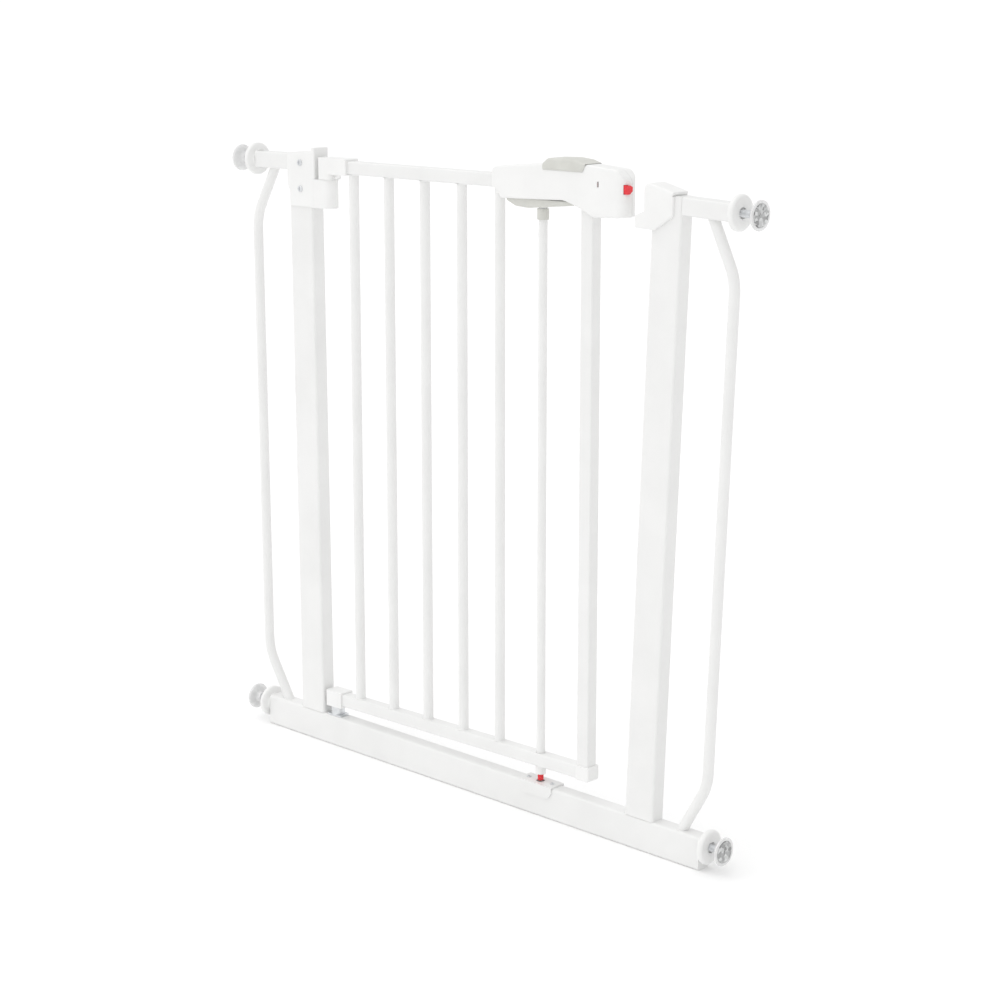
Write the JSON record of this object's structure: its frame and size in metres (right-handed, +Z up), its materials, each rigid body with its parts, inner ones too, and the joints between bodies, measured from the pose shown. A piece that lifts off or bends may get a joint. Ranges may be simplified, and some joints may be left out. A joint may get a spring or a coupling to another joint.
{
  "type": "baby safety gate",
  "caption": "Pressure-fit walk-through baby gate: tube frame, hinged barred door, slide-and-lift handle latch, floor strike and threaded wall pads.",
  "frame": {"origin": "middle of the bottom rail's underside", "axes": "+X towards the latch side, +Y through the opening away from the handle's lock window, +Z up"},
  "size_m": [0.7973, 0.039, 0.7598],
  "materials": {
    "white_powder_coat": "satin white powder coat on steel tube",
    "white_plastic": "moulded white ABS, satin",
    "grey_plastic": "moulded light warm grey ABS, satin",
    "red_plastic": "moulded red POM",
    "zinc_plated_steel": "bright zinc-plated steel",
    "clear_plastic": "clear moulded pad holder",
    "grey_rubber": "soft grey rubber"
  },
  "bodies": {
    "frame": {"bottom_rail": "white_powder_coat", "left_upright": "white_powder_coat", "right_upright": "white_powder_coat", "left_top_arm": "white_powder_coat", "right_top_arm": "white_powder_coat", "left_side_bar": "white_powder_coat", "right_side_bar": "white_powder_coat", "arm_end_plugs": "white_plastic", "rail_end_plugs": "white_plastic", "hinge_bracket": "white_plastic", "hinge_bracket_screws": "zinc_plated_steel", "lower_hinge_bracket": "zinc_plated_steel", "lower_hinge_pin": "zinc_plated_steel", "latch_receiver": "white_plastic", "receiver_screws": "zinc_plated_steel", "strike_plate": "white_powder_coat", "strike_screws": "zinc_plated_steel"},
    "door": {"door_top_rail": "white_powder_coat", "door_bottom_rail": "white_powder_coat", "door_bar_1": "white_powder_coat", "door_bar_2": "white_powder_coat", "door_bar_3": "white_powder_coat", "door_bar_4": "white_powder_coat", "door_bar_5": "white_powder_coat", "door_end_tube": "white_powder_coat", "upper_hinge_knuckle": "white_plastic", "upper_hinge_pin": "zinc_plated_steel", "door_hinge_cap": "white_plastic", "door_corner_cap": "white_plastic", "lift_rod_guide": "white_plastic", "handle_front_shell": "white_plastic", "handle_back_shell": "white_plastic", "handle_screws": "zinc_plated_steel", "latch_bolt_spring": "zinc_plated_steel"},
    "latch_slide": {"slide_button": "grey_plastic", "latch_bolt": "red_plastic"},
    "lift_rod": {"release_lever": "grey_plastic", "lift_rod_collar": "grey_plastic", "lift_rod": "white_powder_coat", "lower_bolt": "red_plastic"},
    "top_left_nut": {"top_left_nut": "white_plastic"},
    "top_left_spindle": {"top_left_spindle": "zinc_plated_steel", "top_left_pad": "clear_plastic", "top_left_pad_cushion": "grey_rubber"},
    "top_right_nut": {"top_right_nut": "white_plastic"},
    "top_right_spindle": {"top_right_spindle": "zinc_plated_steel", "top_right_pad": "clear_plastic", "top_right_pad_cushion": "grey_rubber"},
    "bottom_left_nut": {"bottom_left_nut": "white_plastic"},
    "bottom_left_spindle": {"bottom_left_spindle": "zinc_plated_steel", "bottom_left_pad": "clear_plastic", "bottom_left_pad_cushion": "grey_rubber"},
    "bottom_right_nut": {"bottom_right_nut": "white_plastic"},
    "bottom_right_spindle": {"bottom_right_spindle": "zinc_plated_steel", "bottom_right_pad": "clear_plastic", "bottom_right_pad_cushion": "grey_rubber"}
  },
  "joints": [
    {"name": "door_hinge", "type": "hinge", "parent": "frame", "child": "door", "pos_m": [-0.23225, 0, 0.038], "axis": [-0.0169, 0, 0.9999], "range_deg": [-90, 90]},
    {"name": "latch_slide", "type": "slide", "parent": "door", "child": "latch_slide", "axis": [-0.9999, 0, -0.0169], "range_m": [0, 0.01], "stiffness_N_per_m": 400},
    {"name": "lever_lift", "type": "slide", "parent": "door", "child": "lift_rod", "axis": [-0.0169, 0, 0.9999], "range_m": [0, 0.008]},
    {"name": "top_left_spindle_slide", "type": "slide", "parent": "frame", "child": "top_left_spindle", "axis": [-0.9997, 0, -0.0243], "range_m": [-0.0147, 0.025]},
    {"name": "top_left_nut_turn", "type": "hinge", "parent": "frame", "child": "top_left_nut", "pos_m": [-0.3646, 0, 0.72317], "axis": [-0.9997, 0, -0.0243], "range_deg": [-4291.2, 7257.6]},
    {"name": "top_right_spindle_slide", "type": "slide", "parent": "frame", "child": "top_right_spindle", "axis": [0.9998, 0, -0.0222], "range_m": [-0.012, 0.025]},
    {"name": "top_right_nut_turn", "type": "hinge", "parent": "frame", "child": "top_right_nut", "pos_m": [0.35869, 0, 0.71987], "axis": [0.9998, 0, -0.0222], "range_deg": [-3513.6, 7257.6]},
    {"name": "bottom_left_spindle_slide", "type": "slide", "parent": "frame", "child": "bottom_left_spindle", "axis": [-1, 0, 0], "range_m": [-0.0145, 0.025]},
    {"name": "bottom_left_nut_turn", "type": "hinge", "parent": "frame", "child": "bottom_left_nut", "pos_m": [-0.348, 0, 0.0272], "axis": [-1, 0, 0], "range_deg": [-4233.6, 7257.6]},
    {"name": "bottom_right_spindle_slide", "type": "slide", "parent": "frame", "child": "bottom_right_spindle", "axis": [1, 0, 0], "range_m": [-0.007, 0.025]},
    {"name": "bottom_right_nut_turn", "type": "hinge", "parent": "frame", "child": "bottom_right_nut", "pos_m": [0.348, 0, 0.0272], "axis": [1, 0, 0], "range_deg": [-2073.6, 7257.6]}
  ],
  "couplings": [
    {"joint": "top_left_nut_turn", "follows": "top_left_spindle_slide", "rad_per_m": 5026.5},
    {"joint": "top_right_nut_turn", "follows": "top_right_spindle_slide", "rad_per_m": 5026.5},
    {"joint": "bottom_left_nut_turn", "follows": "bottom_left_spindle_slide", "rad_per_m": 5026.5},
    {"joint": "bottom_right_nut_turn", "follows": "bottom_right_spindle_slide", "rad_per_m": 5026.5}
  ]
}
